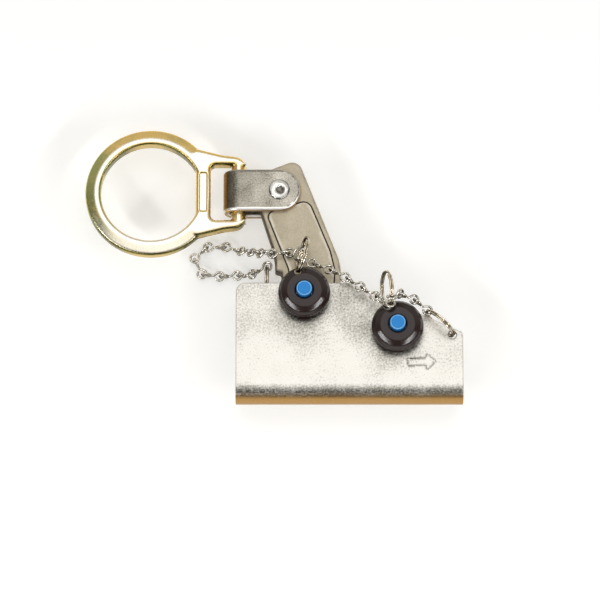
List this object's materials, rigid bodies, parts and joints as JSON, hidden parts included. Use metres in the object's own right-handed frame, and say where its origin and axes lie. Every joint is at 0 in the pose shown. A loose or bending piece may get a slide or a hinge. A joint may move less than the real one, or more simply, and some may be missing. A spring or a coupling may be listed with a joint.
{
  "type": "detachable cable grab",
  "caption": "Bent steel channel that clips round a wire line, with a cam lever, grooved shoe, two ball-lock pins on chains and a forged connecting ring.",
  "frame": {"origin": "middle of the wire seat: on the axis of the channel's bend, halfway along it", "axes": "+X along the wire in the direction of travel, +Y from the wire to the lever's head, +Z along the pins towards their knobs"},
  "size_m": [0.1973, 0.1488, 0.0467],
  "materials": {
    "plate_steel": "zinc plated, satin",
    "lever_steel": "forged, nickel plated, satin",
    "shoe_steel": "forged, oiled",
    "strap_steel": "zinc plated, worn",
    "rivet_steel": "bright",
    "ring_zinc_yellow": "yellow zinc plated forging",
    "pin_steel": "ground stainless",
    "knob_black": "black anodised, glossy",
    "button_blue": "blue anodised, satin",
    "spring_steel": "drawn wire",
    "ball_steel": "polished",
    "split_ring_steel": "nickel plated wire",
    "chain_steel": "nickel plated wire"
  },
  "bodies": {
    "channel": {"channel_body": "plate_steel", "corner_ring": "split_ring_steel", "anchor_ring": "split_ring_steel", "handle_chain": "chain_steel", "middle_chain": "chain_steel", "corner_chain": "chain_steel"},
    "lever": {"cam_lever": "lever_steel"},
    "shoe": {"cable_shoe": "shoe_steel"},
    "shackle": {"shackle_strap": "strap_steel", "shackle_rivet": "rivet_steel"},
    "eye": {"connecting_ring": "ring_zinc_yellow"},
    "pin_a": {"pin_a_shank": "pin_steel", "pin_a_knob": "knob_black", "pin_a_spring": "split_ring_steel", "pin_a_ring": "split_ring_steel"},
    "pin_a_plunger": {"pin_a_button": "button_blue", "pin_a_spindle": "pin_steel"},
    "pin_a_front_ball": {"pin_a_ball_front": "ball_steel"},
    "pin_a_rear_ball": {"pin_a_ball_rear": "ball_steel"},
    "pin_b": {"pin_b_shank": "pin_steel", "pin_b_knob": "knob_black", "pin_b_spring": "split_ring_steel", "pin_b_ring": "split_ring_steel"},
    "pin_b_plunger": {"pin_b_button": "button_blue", "pin_b_spindle": "pin_steel"},
    "pin_b_front_ball": {"pin_b_ball_front": "ball_steel"},
    "pin_b_rear_ball": {"pin_b_ball_rear": "ball_steel"}
  },
  "joints": [
    {"name": "lever_swing", "type": "hinge", "parent": "channel", "child": "lever", "pos_m": [-0.0234, 0.0487, 0], "axis": [0, 0, 1], "range_deg": [-24, 6]},
    {"name": "shoe_swing", "type": "hinge", "parent": "channel", "child": "shoe", "pos_m": [0.0249, 0.0304, 0], "axis": [0, 0, 1], "range_deg": [-3.5, 1]},
    {"name": "shackle_swing", "type": "hinge", "parent": "lever", "child": "shackle", "pos_m": [-0.0365, 0.1063, 0], "axis": [0, 0, 1], "range_deg": [-96, 20]},
    {"name": "eye_swing", "type": "hinge", "parent": "shackle", "child": "eye", "pos_m": [-0.0578, 0.1063, 0], "axis": [0, 1, 0], "range_deg": [-120, 115]},
    {"name": "pin_a_pull", "type": "slide", "parent": "channel", "child": "pin_a", "axis": [0, 0, 1], "range_m": [0, 0.031], "deforming": ["handle_chain", "middle_chain", "pin_a_ball_front", "pin_a_ball_rear"]},
    {"name": "button_a_press", "type": "slide", "parent": "pin_a", "child": "pin_a_plunger", "axis": [0, 0, -1], "range_m": [0, 0.003], "stiffness_N_per_m": 900, "springref_m": -0.002, "deforming": ["pin_a_spring"]},
    {"name": "ball_a_front", "type": "slide", "parent": "pin_a", "child": "pin_a_front_ball", "axis": [-1, 0, 0], "range_m": [0, 0.0009]},
    {"name": "ball_a_rear", "type": "slide", "parent": "pin_a", "child": "pin_a_rear_ball", "axis": [1, 0, 0], "range_m": [0, 0.0009]},
    {"name": "pin_b_pull", "type": "slide", "parent": "channel", "child": "pin_b", "axis": [0, 0, 1], "range_m": [0, 0.031], "deforming": ["corner_chain", "pin_b_ball_front", "pin_b_ball_rear"]},
    {"name": "button_b_press", "type": "slide", "parent": "pin_b", "child": "pin_b_plunger", "axis": [0, 0, -1], "range_m": [0, 0.003], "stiffness_N_per_m": 900, "springref_m": -0.002, "deforming": ["pin_b_spring"]},
    {"name": "ball_b_front", "type": "slide", "parent": "pin_b", "child": "pin_b_front_ball", "axis": [-1, 0, 0], "range_m": [0, 0.0009]},
    {"name": "ball_b_rear", "type": "slide", "parent": "pin_b", "child": "pin_b_rear_ball", "axis": [1, 0, 0], "range_m": [0, 0.0009]}
  ],
  "couplings": [
    {"joint": "shoe_swing", "follows": "lever_swing", "ratio": 0.138},
    {"joint": "ball_a_front", "follows": "button_a_press", "ratio": 0.3},
    {"joint": "ball_a_rear", "follows": "button_a_press", "ratio": 0.3},
    {"joint": "ball_b_front", "follows": "button_b_press", "ratio": 0.3},
    {"joint": "ball_b_rear", "follows": "button_b_press", "ratio": 0.3}
  ]
}
